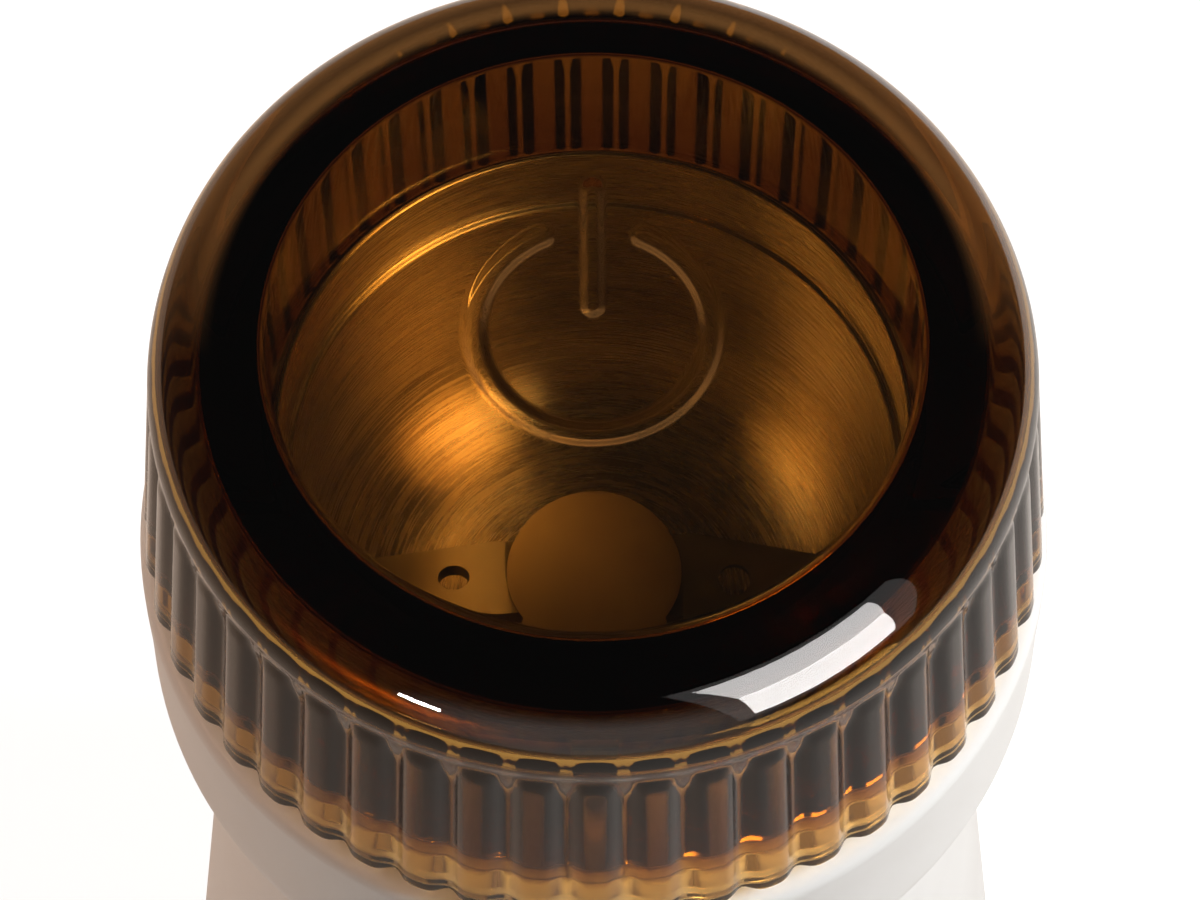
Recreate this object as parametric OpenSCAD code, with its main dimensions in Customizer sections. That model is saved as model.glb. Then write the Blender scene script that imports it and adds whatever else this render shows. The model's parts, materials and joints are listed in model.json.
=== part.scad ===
// Pill crusher: a hand-held electric grinder with a press-to-run lid.
// The origin is at the middle of the footprint, on the surface that it stands on.
// +Z is up and the front is toward -Y. All sizes are in millimetres.

/* [Body shell] */
// Height of the shell's lower edge above the table
shell_lift = 2.0; // [1.4:0.1:2.4]
// Height of the tapered shell, from its lower edge to the waist
shell_h = 110.6; // [104:0.2:120]
// How far the lower edge stands out past the waist
base_flare = 10.3; // [9:0.1:14]
// Rounding of the lower edge
base_round = 2.0; // [1:0.1:2.4]
// Wall of the shell
shell_wall = 2.4; // [1.8:0.1:3]
// Height of the spigot that stands up inside the collar
spigot_h = 4.8; // [4.2:0.1:5.4]
// Radial step from the waist in to the spigot
spigot_step = 1.8; // [1.5:0.1:2]

/* [Collar] */
// Height from the waist to the ledge under the lid
collar_h = 23.1; // [22.4:0.1:26]
// How far the collar's widest place stands out past the skirt
collar_proud = 0.6; // [0.2:0.1:2.4]
// How far the collar draws in from there to its lower rounding
collar_tuck = 0.2; // [0.1:0.1:0.6]
// Radius of the lower rounding
collar_round = 6.0; // [5.2:0.1:6.6]
// Radius of the rounding at the ledge
ledge_round = 1.6; // [0.8:0.1:2]
// Height of the widest place below the ledge
collar_belly = 3.2; // [2.6:0.1:6]
// Wall of the collar
collar_wall = 2.4; // [2:0.1:2.6]
// Thickness of the deck inside the collar
deck_t = 2.4; // [2:0.1:2.6]
// Height of the guide ring that the lid slides over
guide_h = 5.2; // [4.6:0.1:6]
// Wall of the guide ring
guide_t = 1.6; // [1.2:0.1:1.9]
// Room for the plunger between the guide ring and the neck
channel_w = 6.03; // [5.8:0.01:6.4]
// Wall of the neck around the bowl
neck_t = 1.6; // [1.2:0.1:1.9]
// Height of the neck above the bowl's step
neck_above_step = 2.0; // [1:0.1:2.6]

/* [Lid] */
// Height of the lid
lid_h = 37.0; // [36:0.1:42]
// Gap between the resting lid and the ledge
skirt_gap = 2.3; // [2.2:0.1:3]
// Outer radius of the skirt at its lower edge
skirt_r = 45.5; // [45:0.1:46.4]
// How far the skirt draws in from its lower edge to the shoulder
skirt_taper = 2.2; // [1.6:0.1:2.6]
// Height of the rounded shoulder
shoulder_h = 9.0; // [7:0.1:10]
// Width of the rounded shoulder, from the skirt in to the flat top
shoulder_w = 8.1; // [7:0.1:8.6]
// Wall of the skirt
lid_wall = 2.8; // [2.5:0.1:3]
// Thickness of the top window
window_t = 2.6; // [2:0.1:3]
// Length of the inner sleeve below the top
sleeve_len = 24.0; // [22:0.1:24.4]
// Wall of the inner sleeve
sleeve_t = 4.6; // [4:0.1:4.8]
// Wall of the skirt at the shoulder's foot
top_wall = 2.0; // [1.8:0.1:2.6]
// Extra wall of the skirt just above the guide ring
skirt_extra = 2.0; // [1.4:0.1:2.2]
// Height of the hollow between skirt and sleeve above the shoulder's foot
hollow_up = 3.0; // [2:0.1:3.4]
// Number of flutes around the skirt
flute_n = 48; // [36:1:54]
// Depth of a flute at the lower edge
flute_depth = 1.0; // [0.5:0.1:1.2]
// Radius of the cutter that makes a flute
flute_r = 1.9; // [1.4:0.1:2.2]
// Height of the plain band between the shoulder and the flutes
flute_fade = 3.0; // [1:0.1:6]
// Width of the web that presses the plunger
web_w = 4.4; // [3:0.1:5]

/* [Power sign] */
// Middle radius of the open ring on the top
sign_r = 11.4; // [9:0.1:14]
// Width of the stroke
sign_w = 2.6; // [1.6:0.1:3]
// Depth of the stroke
sign_d = 0.6; // [0.3:0.1:0.8]
// Half of the ring's gap, in degrees
sign_gap = 25; // [18:1:40]
// Start of the bar from the middle
bar_from = 2.6; // [0:0.1:5]
// End of the bar from the middle
bar_to = 15.6; // [12:0.1:18]

/* [Bowl] */
// Height of the rim above the ledge
bowl_rise = 18.8; // [18:0.1:20]
// Depth of the bowl
bowl_depth = 41.5; // [40:0.1:46]
// Height of the rim band
band_h = 9.0; // [8.6:0.1:11]
// Step from the band in to the bowl
band_step = 0.8; // [0.7:0.1:1]
// Radius between wall and floor
bowl_round = 13.0; // [8:0.1:15]
// Thickness of the sheet
bowl_t = 0.6; // [0.5:0.1:0.8]
// Radius of the hole in the floor
bowl_hole_r = 6.0; // [5.9:0.1:6.4]

/* [Blade and hub] */
// Outer radius of the hub
hub_r = 9.5; // [8.8:0.1:10.5]
// Gap between the clamp nut and the hub
hub_gap = 0.6; // [0.4:0.1:1]
// Height of the blade above the hub's lower face
blade_up = 2.0; // [1.6:0.1:3]
// Thickness of the blade
blade_t = 1.6; // [1.2:0.1:2]
// Height of the hub's straight side
hub_side = 3.4; // [3.1:0.1:4.6]
// Gap between the blade's tip and the bowl's wall
blade_gap = 3.6; // [2.6:0.1:6]
// Width of the blade at the hub
blade_w = 11.0; // [9:0.1:13]
// Width of the blade at its tip
blade_tip_w = 5.5; // [4:0.1:7]
// Tilt of each wing, in degrees
blade_tilt = 14; // [6:1:20]
// Radius of the holes in the wings
blade_hole_r = 1.7; // [1:0.1:2]
// Distance of those holes from the axis
blade_hole_at = 15.0; // [13.5:0.1:18]

/* [Motor] */
// Radius of the shaft
shaft_r = 3.0; // [2.5:0.1:3]
// Length of the shaft inside the hub
shaft_in_hub = 8.4; // [6.5:0.1:9]
// Height of the laminated stack
stack_h = 24.0; // [20:0.5:26]
// Room for the posts between the stator and the carrier's cup
motor_room = 8.8; // [7.8:0.1:9.2]
// Radial width of the stator's yoke
yoke_w = 4.5; // [4.2:0.1:4.7]
// Depth of a stator pole inside the yoke
pole_d = 5.2; // [5:0.1:6.5]
// Air gap between armature and stator
air_gap = 0.5; // [0.4:0.1:0.8]
// Number of armature slots
slot_n = 12; // [8:1:14]
// Radius of a slot
slot_r = 1.5; // [1.2:0.1:1.6]
// Height of the windings past each end of the stack
end_turn = 6.5; // [5:0.1:7]
// Wall of the commutator around the shaft
comm_wall = 6.0; // [5:0.1:6.4]
// Length of the commutator
comm_h = 10.0; // [9.4:0.1:11]
// Number of commutator bars
comm_n = 24; // [12:1:30]
// Thickness of the bearing brackets
bracket_t = 3.0; // [2.4:0.1:3.6]
// Radius of the tie bolts
tie_r = 1.5; // [1.2:0.1:1.6]
// Radius of the bracket legs around the tie bolts
leg_r = 2.3; // [2.1:0.1:2.5]
// Length of the upper bracket's legs
upper_leg = 15.0; // [14:0.1:17]
// Length of the lower bracket's legs
lower_leg = 24.0; // [23:0.1:26]
// Radius of the upper bearing hub
bear_hub_r = 5.8; // [5.4:0.1:5.85]
// Outer radius of the upper bearing bush
bear_r = 4.6; // [4.1:0.1:4.8]
// Length of the upper bearing bush
bear_l = 10.0; // [8:0.1:10.4]
// Outer radius of the lower bearing bush
low_bear_r = 5.5; // [4.6:0.1:6]
// Length of the lower bearing bush
low_bear_l = 8.0; // [6:0.1:9]
// Running clearance of the shaft
run_clear = 0.04; // [0.02:0.01:0.08]
// How far the cooling fan stays inside the stator's edge
fan_in = 2.0; // [0:0.1:6]
// Height of the cooling fan
fan_h = 8.0; // [6:0.1:8.6]
// Number of fan blades
fan_n = 9; // [6:1:10]
// Width of a carbon brush
brush_w = 6.0; // [5:0.1:6.6]
// Height of a carbon brush
brush_h = 7.0; // [6:0.1:8]
// Room for the spring behind a carbon brush
brush_room = 7.0; // [6:0.1:8]
// How far the brush holders stay inside the stator's edge
holder_in = 0.2; // [0:0.1:1]
// Radius of a brush spring
brush_spring_r = 1.9; // [1.5:0.1:2]
// Number of curls of a brush spring
brush_spring_n = 5; // [4:1:6]

/* [Carrier] */
// Thickness of the carrier's flange and floor
carrier_t = 3.0; // [2.6:0.1:3.2]
// Gap between the bowl and the carrier's cup
cup_clear = 1.1; // [0.8:0.1:1.4]
// Wall of the carrier's cup
cup_t = 1.5; // [1.2:0.1:1.7]
// Space between the bowl and the carrier's floor
bowl_space = 5.4; // [5:0.1:6.4]
// Thickness of the rubber dampers
damper_t = 2.0; // [1.6:0.1:2.6]
// Outer radius of the rubber dampers
damper_r = 4.5; // [3.6:0.1:5]
// Distance of the damper screws from the stator's edge
damper_in = 6.0; // [5.4:0.1:6.6]
// Thickness of the rubber washer under the bowl
washer_t = 0.8; // [0.6:0.1:1.2]
// Height of the clamp nut in the bowl
nut_h = 2.0; // [1.6:0.1:2.4]
// How far the middle of a post lies inside the cup's outer face
post_in = 1.6; // [1.2:0.1:2]
// Radius of the posts
post_r = 3.0; // [2.6:0.1:3.2]
// How far the middle of a screw boss lies outside the spigot
boss_out = 2.8; // [2.6:0.1:3.1]
// Radius of the collar's screw bosses
boss_r = 3.0; // [2.6:0.1:3.2]
// Depth of the carrier's screws in the collar
carrier_screw_in = 9.0; // [6:0.5:10]

/* [Switch] */
// Travel of the lid and the plunger
press = 2.0; // [1.6:0.1:2]
// Height of the plunger's top above the ledge
plunger_rise = 13.3; // [13.2:0.1:14.4]
// Radius of the plunger's pin
pin_r = 1.6; // [1.3:0.1:1.6]
// Radius of the plunger's head
pin_head_r = 2.6; // [2.4:0.1:2.7]
// Height of the plunger's head
pin_head_h = 2.5; // [2:0.1:3]
// Length of the pin below the deck
pin_below = 2.7; // [2.5:0.1:3]
// Wire of the return spring
spring_wire = 0.5; // [0.4:0.05:0.5]
// Number of curls of the return spring
spring_n = 6; // [4:1:7]
// Length of the microswitch
sw_l = 12.8; // [12.4:0.1:13.4]
// Width of the microswitch
sw_w = 5.8; // [5.4:0.1:5.9]
// Height of the microswitch
sw_h = 6.5; // [6:0.1:6.6]
// Distance from the lever's pivot to the plunger
lever_arm = 13.6; // [13.2:0.1:14]
// Resting slope of the lever, in degrees
lever_slope = 9; // [9:1:10]
// Thickness of the lever
lever_t = 0.4; // [0.3:0.05:0.5]
// Distance from the lever's pivot to the button
button_at = 4.1; // [3.8:0.1:5]
// Radius of the switch's button
button_r = 1.0; // [0.8:0.1:1.1]

/* [Base and cord inlet] */
// Height of the base cover's underside above the table
foot_h = 2.6; // [2.5:0.1:3.4]
// Thickness of the base cover
cover_t = 2.6; // [2.4:0.1:3.2]
// Radius of a foot
foot_r = 5.0; // [4:0.1:5.4]
// Depth of the seat of a foot
foot_seat = 0.8; // [0.5:0.1:1]
// Width of the base cover outside a foot
foot_edge = 2.9; // [1.4:0.1:3.4]
// Number of vent slots in the base cover
vent_n = 18; // [12:1:20]
// Distance of the vent slots from the axis
vent_at = 10.0; // [8:0.1:11]
// Length of a vent slot
vent_l = 12.0; // [8:0.1:14]
// Width of a vent slot
vent_w = 2.0; // [1.4:0.1:2.4]
// Height of the cord inlet above the table
inlet_z = 24.0; // [20:0.1:40]
// Radius of the cord inlet's bore
inlet_r = 3.2; // [2.6:0.1:3.4]
// Wall of the inlet bush
inlet_wall = 1.8; // [1.4:0.1:2]
// Thickness of the inlet bush's outer flange
inlet_out = 1.2; // [0.8:0.1:2]
// Radius of the base screws
screw_r = 1.5; // [1.2:0.1:1.6]
// Length of the base screws
base_screw_l = 10.0; // [7:0.5:12]

/* [Clearances] */
// Between the lid's skirt and the guide ring
lid_clear = 0.94; // [0.7:0.01:1]
// Between the lid's sleeve and the bowl's band
sleeve_clear = 0.4; // [0.3:0.05:0.6]
// Between the lid's thick wall and the guide ring when pressed
thick_clear = 0.7; // [0.4:0.1:1]
// Between the bowl and the neck
bowl_clear = 0.3; // [0.2:0.05:0.4]
// Between fixed pieces that slip into each other
slip = 0.2; // [0.1:0.05:0.3]
// Between moving pieces of the switch
sw_clear = 0.15; // [0.1:0.01:0.2]
// Between a carbon brush and the commutator
brush_clear = 0.1; // [0.06:0.01:0.2]

/* [Hidden] */
$fn = 64;
eps = 0.01;

// Heights of the main seats
z_waist = shell_lift + shell_h;
z_ledge = z_waist + collar_h;
z_deck = z_ledge - deck_t;
z_skirt = z_ledge + skirt_gap;
z_top = z_skirt + lid_h;
z_guide = z_ledge + guide_h;
z_rim = z_ledge + bowl_rise;
z_floor = z_rim - bowl_depth;
z_step = z_rim - band_h;
z_spigot = z_waist + spigot_h;
z_flange = z_spigot + carrier_t;
z_cover = foot_h + cover_t;

// Lid: the skirt's crest line and its inner wall
z_shoulder = z_top - shoulder_h;
shoulder_r = skirt_r - skirt_taper;
flat_r = shoulder_r - shoulder_w;
skirt_draft = (skirt_r - shoulder_r) / (z_shoulder - z_skirt);
function crest(z) = skirt_r - skirt_draft * (z - z_skirt);
function lid_in(z) = crest(z) - lid_wall;
z_sleeve = z_top - sleeve_len;
z_ceiling = z_top - window_t;
lid_lip = 1.2;

// Collar, from the lid's inner wall in to the bowl
collar_r = skirt_r + collar_proud;
collar_low_r = collar_r - collar_tuck;
guide_ro = lid_in(z_guide) - lid_clear;
guide_ri = guide_ro - guide_t;
neck_ro = guide_ri - channel_w;
neck_up_r = neck_ro - neck_t;
band_r = neck_up_r - bowl_clear - bowl_t;
bowl_r = band_r - band_step;
neck_low_r = bowl_r + bowl_t + bowl_clear;
sleeve_ri = band_r + bowl_t + sleeve_clear;
sleeve_ro = sleeve_ri + sleeve_t;
z_hollow = z_shoulder + hollow_up;
gasket_t = 0.7;
z_seat = z_step - bowl_t - gasket_t;

// Carrier and shell, from the bowl out to the waist
cup_ri = bowl_r + bowl_t + cup_clear;
cup_ro = cup_ri + cup_t;
spigot_ri = cup_ro + slip;
spigot_ro = spigot_ri + shell_wall - 0.2;
waist_r = spigot_ro + spigot_step;
base_r = waist_r + base_flare;
shell_slope = (base_r - waist_r) / shell_h;
function shell_out(z) = base_r - shell_slope * (z - shell_lift);
cover_r = base_r - shell_wall - 0.5;
rest_w = 2.4;
foot_at = cover_r - foot_edge - foot_r;
z_cup = z_floor - bowl_t - bowl_space;
z_cup_u = z_cup - carrier_t;
boss_a = [90, 210, 330];
boss_at = spigot_ro + boss_out;
post_at = cup_ro - post_in;
carrier_screw_r = 1.4;

// Motor, from the carrier's floor down and from the stator in
z_brk = z_cup_u - damper_t;
z_brk_u = z_brk - bracket_t;
z_stack = z_brk_u - upper_leg;
z_stack_u = z_stack - stack_h;
z_low = z_stack_u - lower_leg;
z_low_u = z_low - bracket_t;
stator_r = cup_ro - motor_room;
tie_at = stator_r - yoke_w / 2;
damper_at = stator_r - damper_in;
pole_in = stator_r - yoke_w - pole_d;
pole_half = 50;
coil_half = 68;
coil_out = stator_r - yoke_w - 0.2;
arm_r = pole_in - air_gap;
comm_r = shaft_r + comm_wall;
fan_r = stator_r - fan_in;
z_nut = z_floor + nut_h;
z_hub = z_nut + hub_gap;
z_seal = z_nut - 2.4;
z_bear = z_seal - bear_l;
z_low_bear = z_low + 2;
z_low_bear_u = z_low_bear - low_bear_l;
z_comm = z_stack_u - end_turn - 2;
z_comm_u = z_comm - comm_h;
z_brush = (z_comm + z_comm_u) / 2;
holder_t = 0.8;
holder_x = comm_r + 1.2;
holder_l = stator_r - holder_in - holder_x;
brush_l = holder_x + holder_l - holder_t - brush_room - comm_r;
clip_t = 0.8;
z_clip = z_low_bear_u - 0.2;
z_fan = z_clip - clip_t - 0.6;
z_shaft = z_fan - fan_h - 1;

// Blade
blade_r = bowl_r - blade_gap;

// Plunger and switch
pin_at = (neck_ro + guide_ri) / 2;
z_pin_top = z_ledge + plunger_rise;
z_pin_head = z_pin_top - pin_head_h;
z_pin = z_deck - pin_below;
web_gap = 0.1;
z_web = z_pin_top + web_gap;
z_thick = z_guide + press + thick_clear;
lever_drop = lever_arm * tan(lever_slope);
lever_lead = pin_r * tan(lever_slope);
z_pivot = z_pin - sw_clear - lever_t / 2 / cos(lever_slope) - lever_drop - lever_lead;
lug_up = 0.55;
z_sw = z_pivot - lug_up;
z_sw_u = z_sw - sw_h;
sw_x = -lever_arm - 1;
sw_y = -pin_at + 0.5;
sw_wall_t = 1.5;
sw_screw_r = 0.9;
sw_screw_x = [sw_x + 3.0, sw_x + 9.5];
z_sw_screw = z_sw_u + 2.0;
pivot_r = 0.45;
lever_w = 3.0;
lug_t = 0.7;

// Points along an arc, from angle a to angle b
function arc(cx, cy, r, a, b, n) =
  [for (i = [0 : n]) let (t = a + (b - a) * i / n) [cx + r * cos(t), cy + r * sin(t)]];
// Points along a quarter of an ellipse, from the side up to the top
function quarter(cx, cy, rx, ry, n) =
  [for (i = [0 : n]) let (t = 90 * i / n) [cx + rx * cos(t), cy + ry * sin(t)]];
// A helix of a round wire, standing on z = 0 and h tall
function helix(r, h, wire, n, steps) =
  [for (i = [0 : n * steps]) let (t = 360 * i / steps)
    [r * cos(t), r * sin(t), wire / 2 + (h - wire) * i / (n * steps)]];
// The smallest clear gap between neighbouring curls of a helix
function curl_gap(p, wire, steps) =
  min([for (i = [0 : len(p) - 1 - steps]) norm(p[i + steps] - p[i])]) - wire;

module polar(n, r, a0 = 0) {
  for (i = [0 : n - 1]) rotate([0, 0, a0 + 360 * i / n]) translate([r, 0, 0]) children();
}

module at_angles(list, r) {
  for (a = list) rotate([0, 0, a]) translate([r, 0, 0]) children();
}

module ring(ro, ri, z0, z1) {
  translate([0, 0, z0]) difference() {
    cylinder(r = ro, h = z1 - z0);
    translate([0, 0, -1]) cylinder(r = ri, h = z1 - z0 + 2);
  }
}

// A screw whose head is below z = 0 and whose shank runs up
module screw(r, l, head_r, head_h) {
  difference() {
    union() {
      translate([0, 0, -head_h]) cylinder(r = head_r, h = head_h);
      translate([0, 0, -eps]) cylinder(r = r, h = l + eps);
    }
    for (a = [0, 90]) rotate([0, 0, a])
      translate([-head_r * 0.6, -0.4, -head_h - 1]) cube([head_r * 1.2, 0.8, 1 + head_h / 2]);
  }
}

// One unbroken tube along a helix, with six sides and flat ends
module spring(r, h, wire, n) {
  steps = 8;
  sides = 6;
  p = helix(r, h, wire, n, steps);
  last = len(p) - 1;
  pts = [for (i = [0 : last]) let (t = 360 * i / steps) for (k = [0 : sides - 1])
    let (u = 360 * k / sides)
    p[i] + wire / 2 * [cos(u) * cos(t), cos(u) * sin(t), sin(u)]];
  walls = [for (i = [0 : last - 1]) for (k = [0 : sides - 1])
    let (a = i * sides + k, b = i * sides + (k + 1) % sides)
    each [[a, a + sides, b], [b, a + sides, b + sides]]];
  ends = [for (k = [1 : sides - 2]) each [
    [0, k, k + 1],
    [last * sides, last * sides + k + 1, last * sides + k]]];
  echo(spring_gap = curl_gap(p, wire, steps));
  polyhedron(points = pts, faces = concat(walls, ends));
}

// The lid's section: window, shoulder, skirt and inner sleeve
module lid_section() {
  round_in = 0.6 * (lid_in(z_shoulder) - sleeve_ro);
  z_turn = z_hollow - round_in;
  polygon(concat(
    [[0, z_top]],
    [for (i = [6 : -1 : 0])
      quarter(flat_r, z_shoulder, shoulder_r - flat_r, shoulder_h, 6)[i]],
    [[skirt_r, z_skirt + 0.5], [skirt_r - 0.5, z_skirt]],
    [[lid_in(z_skirt) + 0.6, z_skirt], [lid_in(z_skirt) + 0.6, z_skirt + lid_lip]],
    [[lid_in(z_skirt + lid_lip + 0.6), z_skirt + lid_lip + 0.6]],
    [[lid_in(z_thick), z_thick], [lid_in(z_thick) - skirt_extra, z_thick + 0.4]],
    arc(shoulder_r - top_wall - round_in, z_turn, round_in, 0, 90, 4),
    [[sleeve_ro + 0.6, z_hollow], [sleeve_ro, z_hollow - 0.6]],
    [[sleeve_ro, z_sleeve], [sleeve_ri, z_sleeve], [sleeve_ri, z_ceiling], [0, z_ceiling]]
  ));
}

// The round-bottomed groove of the power sign
module sign_cut() {
  ball = (sign_w * sign_w / 4 + sign_d * sign_d) / (2 * sign_d);
  z = z_top - sign_d + ball;
  rotate([0, 0, 90 + sign_gap]) rotate_extrude(angle = 360 - 2 * sign_gap)
    translate([sign_r, z]) circle(r = ball);
  for (s = [-1, 1]) rotate([0, 0, 90 + s * sign_gap])
    translate([sign_r, 0, z]) sphere(r = ball);
  translate([0, bar_from, z]) rotate([-90, 0, 0]) cylinder(r = ball, h = bar_to - bar_from);
  for (y = [bar_from, bar_to]) translate([0, y, z]) sphere(r = ball);
}

// One straight flute cutter, parallel to the skirt's crest, ending below the shoulder
module flute_cut() {
  z1 = z_shoulder - flute_fade;
  r0 = skirt_r + flute_r - flute_depth;
  r1 = crest(z1) + flute_r - flute_depth;
  tilt = atan2(r1 - r0, z1 - z_skirt);
  translate([r0, 0, z_skirt]) rotate([0, tilt, 0])
    translate([0, 0, -3]) cylinder(r = flute_r, h = norm([r1 - r0, z1 - z_skirt]) + 3);
}

module lid_cover() {
  color([0.30, 0.18, 0.09, 0.7]) union() {
    difference() {
      rotate_extrude() lid_section();
      polar(flute_n, 0, 90 + 180 / flute_n) flute_cut();
      sign_cut();
    }
    translate([-web_w / 2, -pin_at - web_w / 2, z_web])
      cube([web_w, web_w, z_sleeve + 1 - z_web]);
  }
}

// The collar's section: outer belly, ledge, guide ring, deck and neck
module collar_section() {
  z_round = z_waist + collar_round;
  z_belly = z_ledge - collar_belly;
  in_round = collar_round - collar_wall;
  cx = collar_low_r - collar_round;
  polygon(concat(
    [[spigot_ro + slip, z_waist]],
    arc(cx, z_round, collar_round, -90, 0, 6),
    [[collar_r, z_belly]],
    arc(collar_r - ledge_round, z_ledge - ledge_round, ledge_round, 0, 90, 4),
    [[guide_ro, z_ledge], [guide_ro, z_guide - 0.5], [guide_ro - 0.5, z_guide]],
    [[guide_ri, z_guide], [guide_ri, z_ledge], [neck_ro, z_ledge]],
    [[neck_ro, z_step + neck_above_step], [neck_up_r, z_step + neck_above_step]],
    [[neck_up_r, z_seat], [neck_low_r, z_seat], [neck_low_r, z_deck]],
    [[collar_r - collar_wall - 1, z_deck], [collar_r - collar_wall, z_deck - 1]],
    arc(cx, z_round, in_round, 0, -90, 4),
    [[spigot_ro + slip, z_waist + collar_wall]]
  ));
}

module collar() {
  color("white") difference() {
    union() {
      rotate_extrude() collar_section();
      at_angles(boss_a, boss_at) translate([0, 0, z_flange])
        cylinder(r = boss_r, h = z_deck - z_flange + 0.5);
      translate([sw_x - 1, sw_y + sw_w / 2, z_sw_u])
        cube([sw_l + 2, sw_wall_t, z_deck - z_sw_u + 0.5]);
    }
    at_angles(boss_a, boss_at) translate([0, 0, z_flange - 1])
      cylinder(r = carrier_screw_r, h = carrier_screw_in + 2);
    translate([0, -pin_at, z_deck - 1]) cylinder(r = pin_r + sw_clear, h = deck_t + 2);
    for (x = sw_screw_x) translate([x, sw_y + sw_w / 2 - 1, z_sw_screw])
      rotate([-90, 0, 0]) cylinder(r = sw_screw_r, h = sw_wall_t + 2);
  }
}

module shell_section() {
  z_in = z_waist - 4;
  polygon(concat(
    arc(base_r - base_round, shell_lift + base_round, base_round, -90, 0, 4),
    [[waist_r, z_waist], [spigot_ro, z_waist], [spigot_ro, z_spigot]],
    [[spigot_ri, z_spigot], [spigot_ri, z_in]],
    [[shell_out(z_in) - shell_wall, z_in - 1]],
    [[shell_out(z_cover + 6) - shell_wall, z_cover + 6]],
    [[shell_out(z_cover) - shell_wall - rest_w, z_cover + 3]],
    [[shell_out(z_cover) - shell_wall - rest_w, z_cover]],
    [[cover_r + slip, z_cover], [cover_r + slip, shell_lift]]
  ));
}

module body_shell() {
  color("white") difference() {
    rotate_extrude() shell_section();
    translate([0, shell_out(inlet_z) - 15, inlet_z]) rotate([-90, 0, 0])
      cylinder(r = inlet_r + inlet_wall + slip, h = base_r);
  }
}

module base_cover() {
  head_r = screw_r + 1.5;
  color("whitesmoke") difference() {
    translate([0, 0, foot_h]) cylinder(r = cover_r, h = cover_t);
    at_angles(boss_a, post_at) translate([0, 0, foot_h - 1]) cylinder(r = screw_r + slip, h = cover_t + 2);
    at_angles(boss_a, post_at) translate([0, 0, foot_h - 1]) cylinder(r = head_r + slip, h = 2.6);
    polar(4, foot_at, 45) translate([0, 0, foot_h - 1]) cylinder(r = foot_r + slip, h = 1 + foot_seat);
    polar(vent_n, vent_at, 10) translate([0, -vent_w / 2, foot_h - 1])
      cube([vent_l, vent_w, cover_t + 2]);
  }
}

module rubber_feet() {
  color("dimgray") polar(4, foot_at, 45) cylinder(r = foot_r, h = foot_h + foot_seat);
}

module base_screws() {
  color("silver") at_angles(boss_a, post_at)
    translate([0, 0, foot_h + 1.6]) screw(screw_r, base_screw_l, screw_r + 1.5, 1.4);
}

// The bowl's wall at a distance o outside its inner face, from the rim down to the hole
function bowl_line(o) = concat(
  [[band_r + o, z_rim], [band_r + o, z_step - o], [bowl_r + o, z_step - o]],
  arc(bowl_r - bowl_round, z_floor + bowl_round, bowl_round + o, 0, -90, 8),
  [[bowl_hole_r, z_floor - o]]
);

module bowl() {
  inner = bowl_line(0);
  outer = bowl_line(bowl_t);
  n = len(outer);
  color("lightgray") rotate_extrude()
    polygon(concat(inner, [for (i = [n - 1 : -1 : 0]) outer[i]]));
}

module bowl_gasket() {
  color("dimgray") ring(neck_up_r - 0.1, neck_low_r, z_seat, z_seat + gasket_t);
}

module bowl_washer() {
  color("dimgray") ring(bowl_hole_r + 3, bowl_hole_r + 0.5, z_floor - bowl_t - washer_t, z_floor - bowl_t);
}

module bowl_nut() {
  color("silver") translate([0, 0, z_floor]) difference() {
    cylinder(r = hub_r - 1, h = nut_h, $fn = 6);
    translate([0, 0, -1]) cylinder(r = bear_hub_r, h = nut_h + 2);
  }
}

// One wing of the blade along +X, tilted about its own length
module blade_wing() {
  x0 = hub_r - 2;
  translate([0, 0, blade_t / 2]) rotate([blade_tilt, 0, 0]) translate([0, 0, -blade_t / 2])
    difference() {
      linear_extrude(blade_t) polygon([
        [x0, -blade_w / 2 + 0.6], [x0 + 3, -blade_w / 2 + 0.3], [blade_r - 3, -blade_tip_w / 2],
        [blade_r - 0.6, -blade_tip_w / 2 + 1.6], [blade_r - 0.6, blade_tip_w / 2 - 1.6],
        [blade_r - 3, blade_tip_w / 2], [x0 + 3, blade_w / 2 - 0.3], [x0, blade_w / 2 - 0.6]]);
      translate([blade_hole_at, 0, -1]) cylinder(r = blade_hole_r, h = blade_t + 2);
    }
}

module grinding_blade() {
  color("silver") translate([0, 0, z_hub + blade_up]) difference() {
    union() {
      translate([-hub_r, -blade_w / 2 + 1, 0]) cube([2 * hub_r, blade_w - 2, blade_t]);
      for (a = [0, 180]) rotate([0, 0, a]) blade_wing();
    }
    translate([0, 0, -1]) cylinder(r = shaft_r, h = blade_t + 2);
  }
}

// The slot that the blade passes through, as wide as the wings sweep up and down
module blade_slot() {
  rise = blade_w / 2 * sin(blade_tilt) + 0.3;
  translate([-hub_r - 1, -blade_w / 2 + 1, 0]) cube([2 * hub_r + 2, blade_w - 2, blade_t]);
  for (s = [-1, 1]) translate([s > 0 ? hub_r - 2.4 : -hub_r - 0.6, -blade_w / 2, -rise])
    cube([3, blade_w, blade_t + 2 * rise]);
}

module blade_hub() {
  color("dimgray") translate([0, 0, z_hub]) difference() {
    union() {
      cylinder(r = hub_r, h = hub_side);
      translate([0, 0, hub_side]) sphere(r = hub_r);
    }
    translate([0, 0, -20]) cylinder(r = hub_r + 1, h = 20);
    translate([0, 0, -1]) cylinder(r = shaft_r, h = shaft_in_hub + 1);
    translate([0, 0, blade_up]) blade_slot();
  }
}

module drive_shaft() {
  color("silver") translate([0, 0, z_shaft]) cylinder(r = shaft_r, h = z_hub + shaft_in_hub - z_shaft);
}

module shaft_seal() {
  color("black") ring(bear_r, shaft_r + run_clear, z_seal, z_nut);
}

module upper_bearing() {
  color("darkgoldenrod") ring(bear_r, shaft_r + run_clear, z_bear, z_seal);
}

module bracket_legs(z0, z1) {
  polar(4, tie_at, 45) translate([0, 0, z0]) cylinder(r = leg_r, h = z1 - z0);
}

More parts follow.
